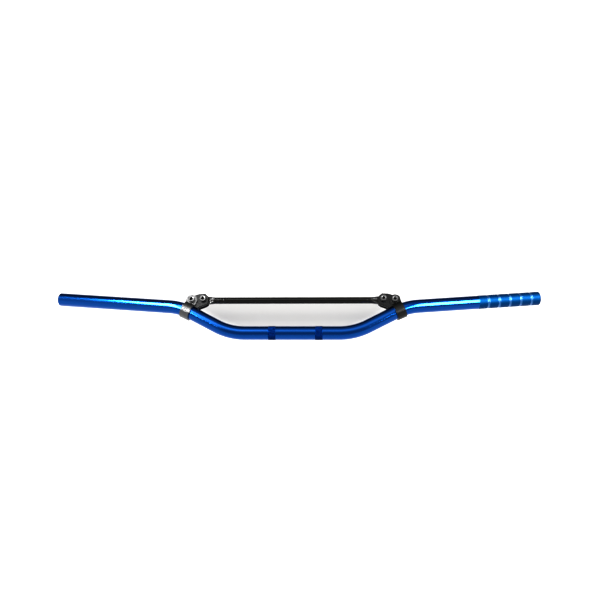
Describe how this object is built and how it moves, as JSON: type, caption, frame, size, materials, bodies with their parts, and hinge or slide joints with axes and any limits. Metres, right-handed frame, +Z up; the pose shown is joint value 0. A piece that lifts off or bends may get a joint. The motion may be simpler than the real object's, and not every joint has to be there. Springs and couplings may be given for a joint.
{
  "type": "motocross handlebar",
  "caption": "Bent aluminium tube handlebar with a crossbar bolted across its risers in forked band clamps, lying as it rests, with knurled clamping bands and a ring-grooved grip end.",
  "frame": {"origin": "centre of the straight clamping section, on the tube's axis", "axes": "+X along the bar to the end with the ring grooves, +Y from the clamping section towards the crossbar, +Z up from the surface that the bar lies on"},
  "size_m": [0.809, 0.1158, 0.0512],
  "materials": {
    "blue_anodised": "bright blue anodised, blasted at the ringed end",
    "black_crossbar": "satin black",
    "black_fork": "satin black",
    "black_band": "semi-gloss black",
    "screw_steel": "dark socket screws with bright rims",
    "plated_steel": "zinc plated"
  },
  "bodies": {
    "root": {"bar_tube": "blue_anodised", "crossbar": "black_crossbar", "left_band_clamp": "black_band", "right_band_clamp": "black_band", "left_crossbar_fork": "black_fork", "right_crossbar_fork": "black_fork", "left_band_screw": "screw_steel", "right_band_screw": "screw_steel", "left_crossbar_screw": "screw_steel", "right_crossbar_screw": "screw_steel", "left_band_washer": "plated_steel", "right_band_washer": "plated_steel", "left_crossbar_washer": "plated_steel", "right_crossbar_washer": "plated_steel", "left_band_nut": "plated_steel", "right_band_nut": "plated_steel", "left_crossbar_nut": "plated_steel", "right_crossbar_nut": "plated_steel"}
  },
  "joints": []
}
